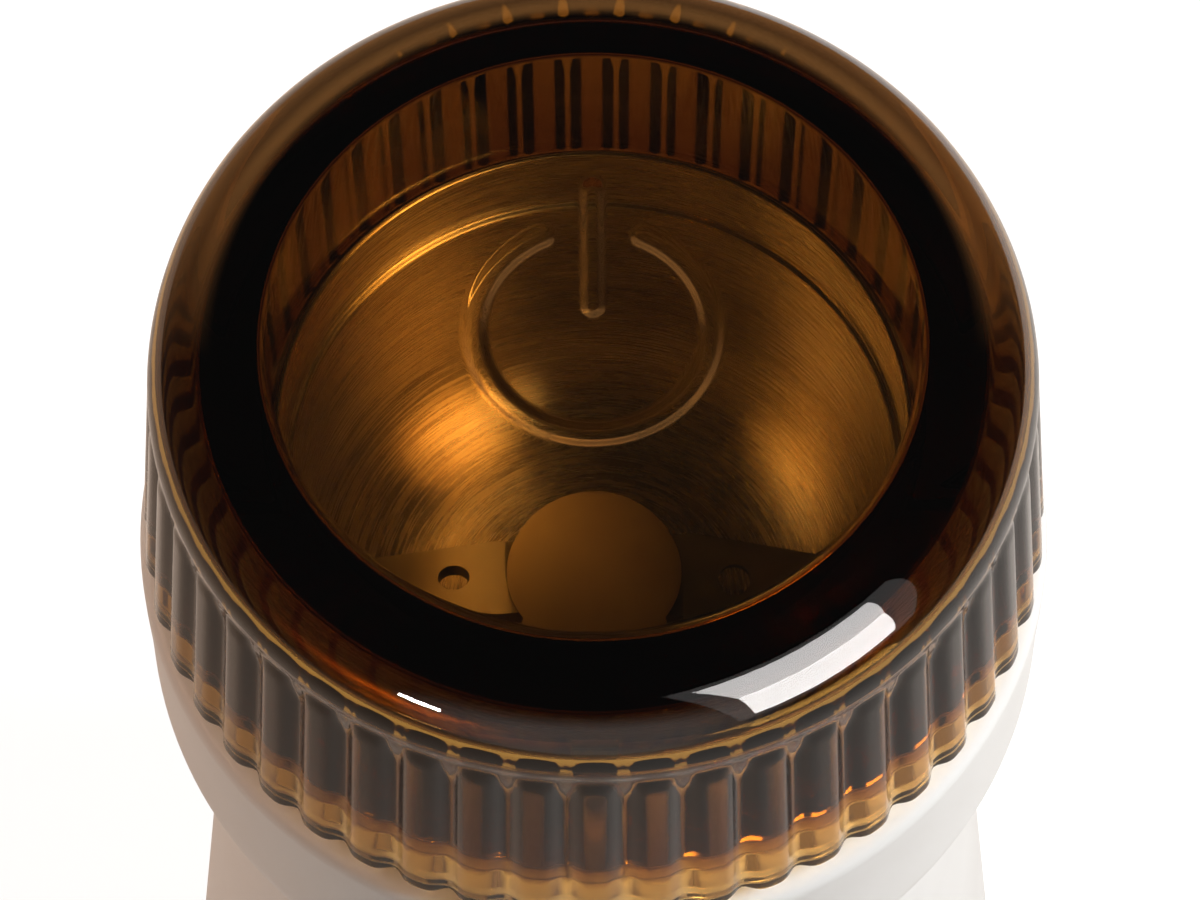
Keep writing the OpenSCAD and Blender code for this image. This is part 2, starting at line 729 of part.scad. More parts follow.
module tie_holes() {
  polar(4, tie_at, 45) translate([0, 0, z_low_u - 1]) cylinder(r = tie_r, h = z_brk - z_low_u + 2);
}

module upper_bracket() {
  color("silver") difference() {
    union() {
      translate([0, 0, z_brk_u]) cylinder(r = stator_r + 0.5, h = bracket_t);
      translate([0, 0, z_bear - 1]) cylinder(r = bear_hub_r, h = z_nut - z_bear + 1);
      translate([0, 0, z_brk_u - 2]) cylinder(r = bear_hub_r + 3, h = 2 + eps);
      bracket_legs(z_stack, z_brk);
    }
    translate([0, 0, z_bear]) cylinder(r = bear_r, h = z_nut - z_bear + 1);
    translate([0, 0, z_brk_u - 3]) cylinder(r = shaft_r + 0.4, h = z_bear - z_brk_u + 4);
    tie_holes();
    polar(4, damper_at) translate([0, 0, z_brk_u - 1]) cylinder(r = carrier_screw_r, h = bracket_t + 2);
    polar(4, damper_at - 7, 45) translate([0, 0, z_brk_u - 3]) cylinder(r = 2.2, h = bracket_t + 4);
  }
}

module motor_dampers() {
  color("black") polar(4, damper_at) ring(damper_r, carrier_screw_r + slip, z_brk, z_cup_u);
}

module motor_screws() {
  color("silver") polar(4, damper_at) translate([0, 0, z_cup]) rotate([180, 0, 0])
    screw(carrier_screw_r, carrier_t + damper_t + bracket_t, 2.7, 2);
}

// A sector of a ring, half degrees to each side of the direction at
module sector(ro, ri, half, z0, z1, at) {
  rotate([0, 0, at - half]) translate([0, 0, z0]) rotate_extrude(angle = 2 * half)
    translate([ri, 0]) square([ro - ri, z1 - z0]);
}

module stator_core() {
  color("slategray") difference() {
    translate([0, 0, z_stack_u]) cylinder(r = stator_r, h = stack_h);
    translate([0, 0, z_stack_u - 1]) cylinder(r = pole_in, h = stack_h + 2);
    for (a = [0, 180])
      sector(stator_r - yoke_w, pole_in - 1, 90 - pole_half, z_stack_u - 1, z_stack + 1, a);
    tie_holes();
  }
}

module field_coils() {
  color("peru") for (a = [90, 270]) difference() {
    sector(coil_out, pole_in + 0.4, coil_half, z_stack_u - end_turn + 1, z_stack + end_turn - 1, a);
    sector(coil_out + 1, pole_in - 1, pole_half + 1, z_stack_u - 0.2, z_stack + 0.2, a);
  }
}

module armature_slots(r) {
  polar(slot_n, arm_r - slot_r - 0.8) translate([0, 0, z_stack_u - 1]) cylinder(r = r, h = stack_h + 2);
  polar(slot_n, arm_r - slot_r - 0.8) translate([0, -0.7, z_stack_u - 1]) cube([slot_r + 2, 1.4, stack_h + 2]);
}

module armature_core() {
  color("slategray") difference() {
    translate([0, 0, z_stack_u]) cylinder(r = arm_r, h = stack_h);
    translate([0, 0, z_stack_u - 1]) cylinder(r = shaft_r, h = stack_h + 2);
    armature_slots(slot_r);
  }
}

// Copper in every slot, joined by the end turns above and below the stack
module armature_winding() {
  ro = arm_r - 0.4;
  color("chocolate") union() {
    for (z = [z_stack_u - end_turn, z_stack]) difference() {
      translate([0, 0, z]) cylinder(r = ro, h = end_turn);
      translate([0, 0, z - 1]) cylinder(r = shaft_r + 1, h = end_turn + 2);
    }
    polar(slot_n, arm_r - slot_r - 0.8) translate([0, 0, z_stack_u - 0.5])
      cylinder(r = slot_r - 0.1, h = stack_h + 1);
  }
}

module commutator() {
  color("darkgoldenrod") difference() {
    ring(comm_r, shaft_r, z_comm_u, z_comm);
    polar(comm_n, comm_r - 0.8) translate([0, -0.2, z_comm_u - 1]) cube([2, 0.4, comm_h + 2]);
  }
}

module lower_bracket() {
  tower_h = z_brush - brush_h / 2 - 0.8 - z_low;
  color("silver") difference() {
    union() {
      translate([0, 0, z_low_u]) cylinder(r = stator_r + 0.5, h = bracket_t);
      translate([0, 0, z_low_bear_u]) cylinder(r = low_bear_r + 2, h = low_bear_l);
      bracket_legs(z_low_u, z_stack_u);
      for (s = [-1, 1]) translate([s * (comm_r + 4 + holder_l / 2) - 4, -brush_w / 2, z_low - eps])
        cube([8, brush_w, tower_h + eps]);
    }
    translate([0, 0, z_low_bear_u - 1]) cylinder(r = low_bear_r, h = low_bear_l + 2);
    tie_holes();
    polar(4, 15, 0) translate([0, 0, z_low_u - 1]) rotate([0, 0, 90])
      translate([-4, -1.5, 0]) cube([8, 3, 1 + bracket_t - 1.2]);
    polar(2, 15, 90) translate([0, 0, z_low_u - 1]) cylinder(r = 4, h = bracket_t + 2);
  }
}

module lower_bearing() {
  color("darkgoldenrod") ring(low_bear_r, shaft_r + run_clear, z_low_bear_u, z_low_bear);
}

module shaft_clip() {
  color("silver") ring(shaft_r + 2, shaft_r, z_clip - clip_t, z_clip);
}

module tie_bolts() {
  color("silver") polar(4, tie_at, 45) translate([0, 0, z_low_u])
    screw(tie_r, z_brk - z_low_u - 0.4, tie_r + 1.2, 1.8);
}

// The brush gear lies along X, one set on each side of the commutator
module both_sides() {
  children();
  rotate([0, 0, 180]) children();
}

module brush_holders() {
  t = holder_t;
  color("darkgoldenrod") both_sides() difference() {
    translate([holder_x, -brush_w / 2 - t, z_brush - brush_h / 2 - t])
      cube([holder_l, brush_w + 2 * t, brush_h + 2 * t]);
    translate([holder_x - 1, -brush_w / 2, z_brush - brush_h / 2])
      cube([holder_l + 1 - t, brush_w, brush_h]);
  }
}

module carbon_brushes() {
  color("black") both_sides() difference() {
    translate([comm_r - 1, -brush_w / 2, z_brush - brush_h / 2])
      cube([brush_l + 1, brush_w, brush_h]);
    translate([0, 0, z_brush - brush_h]) cylinder(r = comm_r + brush_clear, h = 2 * brush_h);
  }
}

module brush_springs() {
  color("silver") both_sides() translate([comm_r + brush_l, 0, z_brush])
    rotate([0, 90, 0]) spring(brush_spring_r, brush_room, spring_wire, brush_spring_n);
}

module cooling_fan() {
  color("dimgray") translate([0, 0, z_fan - fan_h]) difference() {
    union() {
      cylinder(r = shaft_r + 2.6, h = fan_h);
      translate([0, 0, fan_h - 1.6]) cylinder(r = fan_r * 0.7, h = 1.6);
      polar(fan_n, shaft_r + 2) rotate([20, 0, 0]) translate([0, -0.6, 0.9])
        cube([fan_r - shaft_r - 2.2, 1.2, fan_h - 1.6]);
    }
    translate([0, 0, -1]) cylinder(r = shaft_r, h = fan_h + 2);
  }
}

module carrier() {
  color("dimgray") difference() {
    union() {
      ring(spigot_ro, cup_ri, z_spigot, z_flange);
      at_angles(boss_a, boss_at) translate([0, 0, z_spigot]) cylinder(r = boss_r, h = carrier_t);
      at_angles(boss_a, cup_ri + 1) translate([0, -boss_r, z_spigot])
        cube([boss_at - cup_ri - 1, 2 * boss_r, carrier_t]);
      ring(cup_ro, cup_ri, z_cup_u, z_flange);
      translate([0, 0, z_cup_u]) cylinder(r = cup_ro, h = carrier_t);
      translate([0, 0, z_cup_u]) cylinder(r = bowl_hole_r + 3, h = z_floor - bowl_t - washer_t - z_cup_u);
      at_angles(boss_a, post_at) translate([0, 0, z_cover]) cylinder(r = post_r, h = z_cup_u - z_cover + 1);
    }
    translate([0, 0, z_cup_u - 1]) cylinder(r = bear_hub_r + slip, h = z_flange - z_cup_u + 2);
    polar(4, damper_at) translate([0, 0, z_cup_u - 1]) cylinder(r = carrier_screw_r + slip, h = carrier_t + 2);
    at_angles(boss_a, boss_at) translate([0, 0, z_spigot - 1])
      cylinder(r = carrier_screw_r + slip, h = carrier_t + 2);
    at_angles(boss_a, post_at) translate([0, 0, z_cover - 1]) cylinder(r = screw_r, h = base_screw_l + 2);
    translate([sw_x - 2, -spigot_ro - 5, z_spigot - 1]) cube([sw_l + 5, 8, carrier_t + 2]);
  }
}

module carrier_screws() {
  color("silver") at_angles(boss_a, boss_at) translate([0, 0, z_spigot])
    screw(carrier_screw_r, carrier_t + carrier_screw_in, 2.4, 1.6);
}

module switch_plunger() {
  color("white") translate([0, -pin_at, 0]) union() {
    translate([0, 0, z_pin]) cylinder(r = pin_r, h = z_pin_top - z_pin);
    translate([0, 0, z_pin_head]) cylinder(r = pin_head_r, h = pin_head_h);
  }
}

module plunger_clip() {
  color("silver") translate([0, -pin_at, 0]) ring(pin_r + 1.2, pin_r, z_deck - 1.1, z_deck - 0.3);
}

module plunger_spring() {
  color("silver") translate([0, -pin_at, z_ledge])
    spring(pin_head_r - spring_wire / 2 - 0.15, z_pin_head - z_ledge, spring_wire, spring_n);
}

module switch_body() {
  color("black") difference() {
    union() {
      translate([sw_x, sw_y - sw_w / 2, z_sw_u]) cube([sw_l, sw_w, sw_h]);
      for (s = [-1, 1]) translate([-lever_arm - 1, sw_y + s * (lever_w / 2 + sw_clear + lug_t / 2) - lug_t / 2, z_sw - eps])
        cube([2, lug_t, lug_up + 0.9]);
    }
    translate([0, 0, z_pivot]) translate([-lever_arm, sw_y - sw_w, 0])
      rotate([-90, 0, 0]) cylinder(r = pivot_r + 0.05, h = 2 * sw_w);
    translate([-lever_arm + button_at, sw_y, z_sw - 3]) cylinder(r = button_r + sw_clear / 2, h = 5);
    for (x = sw_screw_x) translate([x, sw_y - sw_w, z_sw_screw])
      rotate([-90, 0, 0]) cylinder(r = sw_screw_r, h = 2 * sw_w);
  }
}

module switch_lever() {
  color("silver") translate([-lever_arm, sw_y, z_pivot]) union() {
    rotate([0, -lever_slope, 0]) translate([0, -lever_w / 2, -lever_t / 2])
      cube([lever_arm + pin_r, lever_w, lever_t]);
    translate([0, -lever_w / 2 - sw_clear - lug_t, 0]) rotate([-90, 0, 0])
      cylinder(r = pivot_r, h = lever_w + 2 * (sw_clear + lug_t));
  }
}

module switch_button() {
  top = z_pivot + button_at * tan(lever_slope) - lever_t / 2 / cos(lever_slope) - sw_clear;
  color("firebrick") translate([-lever_arm + button_at, sw_y, z_sw - 1.6])
    cylinder(r = button_r, h = top - button_r * tan(lever_slope) - z_sw + 1.6);
}

module switch_terminals() {
  color("darkgoldenrod") for (i = [0 : 2])
    translate([sw_x + 1.4 + i * (sw_l - 4.8) / 2, sw_y - 0.9, z_sw_u - 3.2]) cube([2, 0.5, 3.2]);
}

module switch_screws() {
  color("silver") for (x = sw_screw_x) translate([x, sw_y - sw_w / 2, z_sw_screw])
    rotate([-90, 0, 0]) screw(sw_screw_r, sw_w + sw_wall_t - 0.2, 1.7, 1.0);
}

module inlet_bush() {
  ro = inlet_r + inlet_wall;
  y_out = shell_out(inlet_z - ro - 1.6) + slip;
  wall_r = shell_out(inlet_z + ro + 1.6) - shell_wall;
  y_in = sqrt(wall_r * wall_r - (ro + 1.6) * (ro + 1.6)) - slip;
  color("black") translate([0, 0, inlet_z]) rotate([-90, 0, 0]) difference() {
    union() {
      translate([0, 0, y_in - 2]) cylinder(r = ro, h = y_out + inlet_out - y_in + 2);
      translate([0, 0, y_out]) cylinder(r = ro + 1.6, h = inlet_out);
      translate([0, 0, y_in - 2]) cylinder(r = ro + 1.4, h = 2);
    }
    translate([0, 0, y_in - 4]) cylinder(r = inlet_r, h = y_out + inlet_out - y_in + 10);
  }
}

lid_cover();
collar();
body_shell();
base_cover();
rubber_feet();
base_screws();
bowl();
bowl_gasket();
bowl_washer();
bowl_nut();
grinding_blade();
blade_hub();
drive_shaft();
shaft_seal();
upper_bearing();
upper_bracket();
motor_dampers();
motor_screws();
stator_core();
field_coils();
armature_core();
armature_winding();
commutator();
lower_bracket();
lower_bearing();
shaft_clip();
tie_bolts();
brush_holders();
carbon_brushes();
brush_springs();
cooling_fan();
carrier();
carrier_screws();
switch_plunger();
plunger_clip();
plunger_spring();
switch_body();
switch_lever();
switch_button();
switch_terminals();
switch_screws();
inlet_bush();
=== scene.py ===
"""Looks of the pill crusher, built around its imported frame. Lengths are in metres."""
import json
import math

import bmesh
import bpy
from mathutils import Matrix, Vector


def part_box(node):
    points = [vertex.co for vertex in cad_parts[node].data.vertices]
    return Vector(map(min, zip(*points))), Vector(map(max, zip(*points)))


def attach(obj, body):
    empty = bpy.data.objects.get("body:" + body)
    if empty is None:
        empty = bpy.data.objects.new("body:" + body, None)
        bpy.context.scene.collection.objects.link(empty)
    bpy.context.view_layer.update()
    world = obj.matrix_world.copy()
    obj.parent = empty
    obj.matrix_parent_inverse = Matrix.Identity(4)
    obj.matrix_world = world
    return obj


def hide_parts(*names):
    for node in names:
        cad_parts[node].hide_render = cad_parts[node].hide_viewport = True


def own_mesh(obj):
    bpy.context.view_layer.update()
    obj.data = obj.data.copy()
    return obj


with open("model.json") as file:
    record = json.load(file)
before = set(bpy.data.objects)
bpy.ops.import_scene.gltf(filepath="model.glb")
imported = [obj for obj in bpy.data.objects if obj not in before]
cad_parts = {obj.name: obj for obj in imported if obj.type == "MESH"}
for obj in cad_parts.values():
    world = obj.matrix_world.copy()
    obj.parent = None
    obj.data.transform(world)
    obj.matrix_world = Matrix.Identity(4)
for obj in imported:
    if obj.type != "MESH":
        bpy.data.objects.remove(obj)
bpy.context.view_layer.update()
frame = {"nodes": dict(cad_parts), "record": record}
nodes = frame["nodes"]

MM = 0.001

# Places that come from the frame
lid_low, lid_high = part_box("lid_cover")
bowl_low, bowl_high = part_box("bowl")
collar_low, collar_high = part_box("collar")
spring_low, spring_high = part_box("plunger_spring")
Z_TOP = lid_high.z
Z_SKIRT = lid_low.z
SKIRT_R = lid_high.x
Z_RIM = bowl_high.z
Z_WAIST = collar_low.z

# Lid
SHOULDER_H = 9.0 * MM
SHOULDER_R = SKIRT_R - 2.2 * MM
FLAT_R = SHOULDER_R - 8.1 * MM
LID_EDGE = 0.6 * MM
LID_WALL = 2.8 * MM
TOP_WALL = 2.0 * MM
THICK_EXTRA = 2.0 * MM
THICK_LOW = 143.6 * MM
HOLLOW_UP = 3.0 * MM
WINDOW_T = 2.6 * MM
SLEEVE_T = 4.6 * MM
SLEEVE_LEN = 24.0 * MM
SLEEVE_CLEAR = 0.4 * MM
LIP = 1.2 * MM
LIP_IN = 0.6 * MM
WEB_W = 4.4 * MM
WEB_LOW = 149.1 * MM
WEB_IN = 34.8 * MM
WEB_OUT = 39.2 * MM

# Lobes of the lid's skirt
LOBES = 48
LOBE_STEPS = 14
LOBE_DEPTH = 1.0 * MM
LOBE_POWER = 1.7
ARCH_TOP = 164.6 * MM
ARCH_DROP = 2.6 * MM
ARCH_FADE = 4.4 * MM
BAND_DEPTH = 0.35 * MM

# Steps of the lid's section
FLAT_STEPS = 8
SHOULDER_STEPS = 28
SKIRT_STEPS = 46
EDGE_STEPS = 5

# Power sign on the lid
SIGN_R = 11.4 * MM
SIGN_W = 2.8 * MM
SIGN_D = 0.36 * MM
SIGN_FLAT = 0.25
SIGN_GAP = math.radians(25)
SIGN_STEP = 0.25 * MM
BAR_FROM = 2.6 * MM
BAR_TO = 15.6 * MM
SIGN_REACH = BAR_TO + SIGN_W

# Bowl
BAND_R = bowl_high.x - 0.6 * MM
BAND_H = 9.0 * MM
BAND_STEP = 0.8 * MM
BOWL_T = 0.6 * MM
BOWL_ROUND = 13.0 * MM
BOWL_HOLE_R = 6.0 * MM
BOWL_STEPS = 24

# Collar
Z_LEDGE = 135.7 * MM
COLLAR_R = collar_high.x
COLLAR_ROUND = 6.0 * MM
COLLAR_IN = 0.2 * MM
COLLAR_WALL = 2.4 * MM
BELLY_LOW = 13.2 * MM
BELLY_HIGH = 3.4 * MM
GUIDE_H = 5.2 * MM
GUIDE_RO = 41.53 * MM
GUIDE_T = 1.6 * MM
NECK_T = 1.6 * MM
NECK_CLEAR = 0.3 * MM
DECK_T = 2.4 * MM
GASKET_T = 0.7 * MM
SPIGOT_R = 36.4 * MM
PIN_AT = 36.917 * MM
PIN_HOLE_R = 1.75 * MM
TURN_STEPS = 192

# Return spring under the plunger's head
SPRING_WIRE = 0.5 * MM
SPRING_TURNS = 6
SPRING_STEPS = 32
SPRING_SIDES = 12

# Amber plastic: clear at the window, a little hazy at the skirt
AMBER_BODY = (0.750, 0.605, 0.250)
AMBER_DENSITY = 900
AMBER_SHADOW = (0.80, 0.72, 0.60)
HAZE_LOW = 162.0 * MM
HAZE_HIGH = 167.0 * MM
HAZE_SKIRT = 0.08
HAZE_WINDOW = 0.02

# Brushed steel
BRUSH_SCALE = 4800
BRUSH_RELIEF = 0.09
BRUSH_DEPTH = 0.02 * MM
BRUSH_DARK = 0.80
BRUSH_BRIGHT = 1.10
BRUSH_SMOOTH = 0.03
BRUSH_ROUGH = 0.05
BRUSH_LENGTH = 0.6 * MM

# Floor: what the camera and the lid see of it, and its painted light in mirrors: a glow graded by depth
# and side, darker at the front and warmer and dimmer to the left, in place of how light falls on it
FLOOR_R = 0.5
FLOOR_COLOUR = (0.86, 0.86, 0.85)
FLOOR_GLOW = 1.4
FLOOR_TO_CAMERA = 0.65
FLOOR_TO_LID = 0.5
# painted light seen in mirrors: the glow's strength by depth and by side, and its tint, warm painted
# shade to the left
PAINTED_LIGHT_BY_DEPTH = (-0.15, 0.25, 0.5, 1.1)
PAINTED_LIGHT_BY_SIDE = (-0.20, 0.05, 0.65, 1.0)
PAINTED_WARM_SHADE_LEFT = (1.0, 0.68, 0.48)
PAINTED_LIGHT_RIGHT = (1.0, 0.90, 0.82)

# Studio: regions of the surroundings, as rows of axis, start, end and least share
STUDIO_COLOUR = (1.0, 0.97, 0.94)
STUDIO_LEVEL = 0.05
SEEN_THROUGH = (("Z", 0.5, 0.1, 0.0), ("X", -0.6, 0.1, 0.15))
FRONT_ROOM = (("Y", -0.75, -0.95, 0.0), ("Z", 0.55, 0.25, 0.0))
FRONT_LEVEL = 0.75
BACKDROP = (("Y", 0.45, 0.75, 0.0), ("Z", 0.80, 0.60, 0.0), ("Z", 0.20, 0.50, 0.35))
BACKDROP_COLOUR = (1.0, 0.45, 0.14)
BACKDROP_LEVEL = 2.2

# Camera of the photograph: 1200 x 900 pixels, aimed at the lid
PHOTO_W = 1200
PHOTO_FOCAL = 6129
PHOTO_ELEVATION = math.radians(60.73)
PHOTO_DISTANCE = 587.4 * MM
PHOTO_ROLL = math.radians(-0.27)
LID_PIXEL = (593.5, 329.2)
PHOTO_MIDDLE = (600, 450)
SENSOR_W = 36.0


# Meshes

def smooth(a, b, x):
    """Rises from 0 at a to 1 at b with level ends."""
    t = min(1.0, max(0.0, (x - a) / (b - a)))
    return t * t * (3 - 2 * t)


def rounded(corners, closed=False, steps=5):
    """Points of a path whose corners (r, z, radius) are rounded."""
    out = []
    count = len(corners)
    for i, (r, z, fillet) in enumerate(corners):
        here = Vector((r, z))
        inside = closed or 0 < i < count - 1
        if fillet <= 0 or not inside:
            out.append((r, z))
            continue
        back = Vector(corners[i - 1][:2]) - here
        ahead = Vector(corners[(i + 1) % count][:2]) - here
        start = here + back.normalized() * min(fillet, back.length * 0.49)
        end = here + ahead.normalized() * min(fillet, ahead.length * 0.49)
        for k in range(steps + 1):
            t = k / steps
            p = start * (1 - t) ** 2 + here * (2 * t * (1 - t)) + end * t ** 2
            out.append((p.x, p.y))
    return out


def revolve(profile, segments, closed=False, bend=None):
    """Vertices and faces of a profile turned about Z. bend(r, z, i, angle) may move each point."""
    verts = []
    rows = []
    for i, (r, z) in enumerate(profile):
        if r < 1e-7:
            rows.append([len(verts)] * segments)
            verts.append((0.0, 0.0, bend(r, z, i, 0.0)[1] if bend else z))
            continue
        row = []
        for k in range(segments):
            a = 2 * math.pi * k / segments
            rr, zz = bend(r, z, i, a) if bend else (r, z)
            row.append(len(verts))
            verts.append((rr * math.cos(a), rr * math.sin(a), zz))
        rows.append(row)
    faces = []
    pairs = list(zip(rows, rows[1:])) + ([(rows[-1], rows[0])] if closed else [])
    for upper, lower in pairs:
        for k in range(segments):
            n = (k + 1) % segments
            loop = [upper[k], lower[k], lower[n], upper[n]]
            faces.append(tuple(dict.fromkeys(loop)))
    return verts, faces


def cylinder_mesh(radius, start, end, segments=48):
    """Vertices and faces of a closed cylinder from start to end."""
    axis = (Vector(end) - Vector(start)).normalized()
    turn = Vector((0, 0, 1)).rotation_difference(axis).to_matrix()
    verts = []
    for base in (Vector(start), Vector(end)):
        for k in range(segments):
            a = 2 * math.pi * k / segments
            verts.append(base + turn @ Vector((radius * math.cos(a), radius * math.sin(a), 0)))
    faces = [
        (k, (k + 1) % segments, segments + (k + 1) % segments, segments + k)
        for k in range(segments)
    ]
    faces.append(tuple(range(segments - 1, -1, -1)))
    faces.append(tuple(range(segments, 2 * segments)))
    return verts, faces


def box_mesh(low, high):
    """Vertices and faces of a box."""
    verts = [
        (x, y, z)
        for z in (low[2], high[2]) for y in (low[1], high[1]) for x in (low[0], high[0])
    ]
    faces = [(0, 2, 3, 1), (4, 5, 7, 6), (0, 1, 5, 4), (2, 6, 7, 3), (0, 4, 6, 2), (1, 3, 7, 5)]
    return verts, faces


def new_object(name, verts, faces):
    """A smooth mesh object with its normals facing out."""
    mesh = bpy.data.meshes.new(name)
    mesh.from_pydata([tuple(v) for v in verts], [], faces)
    bm = bmesh.new()
    bm.from_mesh(mesh)
    bmesh.ops.recalc_face_normals(bm, faces=bm.faces)
    bm.to_mesh(mesh)
    bm.free()
    mesh.shade_smooth()
    obj = bpy.data.objects.new(name, mesh)
    bpy.context.scene.collection.objects.link(obj)
    return obj


def cut(obj, verts, faces, operation="DIFFERENCE"):
    """Cuts a tool shape out of an object, or joins it, and keeps the result."""
    tool = new_object("tool", verts, faces)
    mod = obj.modifiers.new("boolean", "BOOLEAN")
    mod.operation = operation
    mod.object = tool
    mod.solver = "EXACT"
    bpy.context.view_layer.update()
    depsgraph = bpy.context.evaluated_depsgraph_get()
    done = bpy.data.meshes.new_from_object(obj.evaluated_get(depsgraph))
    obj.modifiers.clear()
    old = obj.data
    obj.data = done
    bpy.data.meshes.remove(old)
    bpy.data.objects.remove(tool)
    obj.data.shade_smooth()


# Shader nodes

def node_tree(name):
    """A new material with its nodes and its Principled shader."""
    mat = bpy.data.materials.new(name)
    mat.use_nodes = True
    return mat, mat.node_tree, mat.node_tree.nodes["Principled BSDF"]


def add_node(tree, kind, **inputs):
    """A new shader node. Inputs are set by name, with _ for a space."""
    node = tree.nodes.new("ShaderNode" + kind)
    for key, value in inputs.items():
        node.inputs[key.replace("_", " ")].default_value = value
    return node


def axes(tree, kind="Object"):
    """X, Y and Z of a texture coordinate."""
    coord = add_node(tree, "TexCoord")
    split = add_node(tree, "SeparateXYZ")
    tree.links.new(coord.outputs[kind], split.inputs["Vector"])
    return split.outputs


def ramp(tree, value, start, end, low=0.0, high=1.0):
    """A number that goes from low to high while value goes from start to end."""
    node = add_node(tree, "MapRange", From_Min=start, From_Max=end, To_Min=low, To_Max=high)
    tree.links.new(value, node.inputs["Value"])
    return node.outputs["Result"]


def combine(tree, operation, first, second, clamp=False):
    """The result of an operation on a socket and a socket or number."""
    node = add_node(tree, "Math")
    node.operation = operation
    node.use_clamp = clamp
    tree.links.new(first, node.inputs[0])
    if isinstance(second, (int, float)):
        node.inputs[1].default_value = second
    else:
        tree.links.new(second, node.inputs[1])
    return node.outputs["Value"]


def mix_shader(tree, share, first, second):
    """The second shader by share, and the first one for the rest."""
    node = add_node(tree, "MixShader")
    tree.links.new(share, node.inputs["Fac"])
    tree.links.new(first, node.inputs[1])
    tree.links.new(second, node.inputs[2])
    return node.outputs["Shader"]


def mirrored_rays(tree, rays):
    """1 for rays from a mirror, and 0 for rays that went through something clear."""
    return combine(tree, "SUBTRACT", rays["Is Glossy Ray"], rays["Is Transmission Ray"], clamp=True)


def relief(tree, shader, height, strength, distance):
    """Bumps the surface by a socket's value."""
    bump = add_node(tree, "Bump", Strength=strength, Distance=distance)
    tree.links.new(height, bump.inputs["Height"])
    tree.links.new(bump.outputs["Normal"], shader.inputs["Normal"])


def noise_value(tree, vector, scale, detail=2.0):
    """Noise at a vector."""
    noise = add_node(tree, "TexNoise", Scale=scale, Detail=detail)
    tree.links.new(vector, noise.inputs["Vector"])
    return noise.outputs["Fac"]


def vary(tree, source, socket, low, high):
    """Feeds a socket with a number that noise moves between low and high."""
    tree.links.new(ramp(tree, source, 0.35, 0.65, low, high), socket)


def tint(tree, source, socket, first, second, start=0.3, end=0.7):
    """Feeds a colour socket with a mix of two near colours."""
    node = add_node(tree, "ValToRGB")
    for element, place, colour in zip(node.color_ramp.elements, (start, end), (first, second)):
        element.position = place
        element.color = (*colour, 1)
    tree.links.new(source, node.inputs["Fac"])
    tree.links.new(node.outputs["Color"], socket)


# Materials

def plain(name, first, second, rough, metal=0.0, grain=600, bump=0.15, depth=0.05 * MM):
    """A moulded or ground surface: two near colours, uneven gloss and a fine grain."""
    mat, tree, shader = node_tree(name)
    shader.inputs["Metallic"].default_value = metal
    place = add_node(tree, "TexCoord").outputs["Object"]
    relief(tree, shader, noise_value(tree, place, grain, 3.0), bump, depth)
    cloud = noise_value(tree, place, grain / 12)
    tint(tree, cloud, shader.inputs["Base Color"], first, second)
    vary(tree, cloud, shader.inputs["Roughness"], *rough)
    return mat


def striped(name, first, second, rough, metal, pitch):
    """Stacked sheets or wound wire: bands along Z."""
    mat, tree, shader = node_tree(name)
    shader.inputs["Metallic"].default_value = metal
    shader.inputs["Roughness"].default_value = rough
    wave = add_node(tree, "TexWave", Scale=1 / pitch / 3.2, Distortion=0.4)
    wave.bands_direction = "Z"
    tree.links.new(add_node(tree, "TexCoord").outputs["Object"], wave.inputs["Vector"])
    tint(tree, wave.outputs["Fac"], shader.inputs["Base Color"], first, second, 0.1, 0.9)
    relief(tree, shader, wave.outputs["Fac"], 0.5, 0.1 * MM)
    return mat


def amber_plastic():
    """Clear smoked amber: the colour lies in the body, and lamps shine through it."""
    mat, tree, shader = node_tree("amber_plastic")
    shader.inputs["Base Color"].default_value = (1, 1, 1, 1)
    shader.inputs["IOR"].default_value = 1.5
    shader.inputs["Transmission Weight"].default_value = 1.0
    haze = ramp(tree, axes(tree)["Z"], HAZE_LOW, HAZE_HIGH, HAZE_SKIRT, HAZE_WINDOW)
    tree.links.new(haze, shader.inputs["Roughness"])
    rays = add_node(tree, "LightPath").outputs
    clear = add_node(tree, "BsdfTransparent", Color=(*AMBER_SHADOW, 1))
    surface = mix_shader(tree, rays["Is Shadow Ray"], shader.outputs["BSDF"], clear.outputs["BSDF"])
    volume = add_node(tree, "VolumeAbsorption", Color=(*AMBER_BODY, 1), Density=AMBER_DENSITY)
    out = tree.nodes["Material Output"]
    tree.links.new(surface, out.inputs["Surface"])
    tree.links.new(volume.outputs["Volume"], out.inputs["Volume"])
    return mat


def white_plastic():
    """Satin white with a faint grain and a little unevenness."""
    mat = plain("white_plastic", (0.84, 0.83, 0.81), (0.88, 0.87, 0.85), (0.34, 0.42),
                grain=900, bump=0.06, depth=0.02 * MM)
    mat.node_tree.nodes["Principled BSDF"].inputs["IOR"].default_value = 1.47
    return mat


def turned_coordinates(tree):
    """Radius, height and angle about the axis as one vector, for marks that run round it."""
    place = axes(tree)
    flat = add_node(tree, "CombineXYZ")
    tree.links.new(place["X"], flat.inputs["X"])
    tree.links.new(place["Y"], flat.inputs["Y"])
    radius = add_node(tree, "VectorMath")
    radius.operation = "LENGTH"
    tree.links.new(flat.outputs["Vector"], radius.inputs[0])
    angle = combine(tree, "ARCTAN2", place["Y"], place["X"])
    out = add_node(tree, "CombineXYZ")
    tree.links.new(radius.outputs["Value"], out.inputs["X"])
    tree.links.new(place["Z"], out.inputs["Y"])
    tree.links.new(combine(tree, "MULTIPLY", angle, BRUSH_LENGTH), out.inputs["Z"])
    return out.outputs["Vector"]


